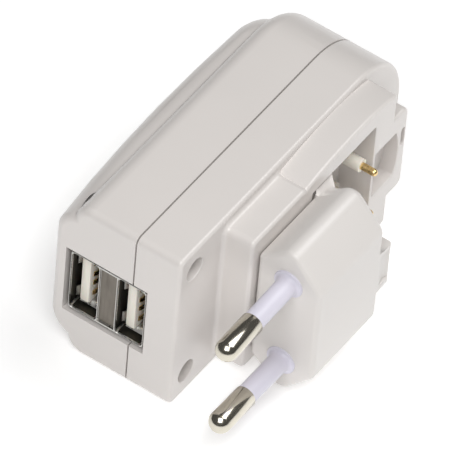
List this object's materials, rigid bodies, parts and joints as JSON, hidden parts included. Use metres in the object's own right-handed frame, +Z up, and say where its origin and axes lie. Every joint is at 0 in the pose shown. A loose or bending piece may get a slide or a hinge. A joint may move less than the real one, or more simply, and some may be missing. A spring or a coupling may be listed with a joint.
{
  "type": "usb wall charger",
  "caption": "White USB wall charger with side-by-side sockets in one end and a round-pin mains plug that folds flat along its back.",
  "frame": {"origin": "centre of the whole charger's box at its base, the flat side that it lies on with its plug folded", "axes": "+X out of the back, where the plug is; +Y from the USB face to the far end; +Z up, along the line through the two mains pins"},
  "size_m": [0.0438, 0.0693, 0.0346],
  "materials": {
    "case_plastic": "satin moulded white-grey plastic",
    "plug_plastic": "satin moulded white-grey plastic",
    "white_plastic": "plain moulded nylon",
    "sleeve_plastic": "smooth, faintly blue white insulation",
    "steel": "zinc plated",
    "nickel": "bright nickel plate",
    "dark_metal": "dull tin plate",
    "brass": "plated spring brass",
    "board": "green solder mask on glass laminate",
    "ferrite": "sintered ferrite",
    "winding_tape": "yellow tape over copper wire",
    "capacitor_sleeve": "shrunk plastic sleeve",
    "ceramic_body": "coated ceramic",
    "blue_epoxy": "dipped epoxy",
    "chip_plastic": "moulded epoxy"
  },
  "bodies": {
    "charger": {"front_cover": "case_plastic", "rear_cover": "case_plastic", "cover_screws": "steel", "hinge_pin": "steel", "contact_sleeves": "white_plastic", "contact_pins": "brass", "main_board": "board", "usb_shell": "nickel", "usb_divider": "dark_metal", "usb_tongues": "white_plastic", "usb_contacts": "brass", "transformer_core": "ferrite", "transformer_winding": "winding_tape", "input_capacitors": "capacitor_sleeve", "output_capacitors": "capacitor_sleeve", "choke": "ferrite", "fuse_resistor": "ceramic_body", "safety_capacitor": "blue_epoxy", "optocoupler": "chip_plastic", "bridge_rectifier": "chip_plastic", "controller_chip": "chip_plastic", "output_diodes": "chip_plastic"},
    "plug": {"plug_housing": "plug_plastic", "plug_end_cap": "plug_plastic", "plug_pins": "nickel", "pin_sleeves": "sleeve_plastic", "plug_contacts": "brass"}
  },
  "joints": [
    {"name": "plug_swing", "type": "hinge", "parent": "charger", "child": "plug", "pos_m": [0.00613, 0.00655, 0.0173], "axis": [0, 0, 1], "range_deg": [0, 90]}
  ]
}
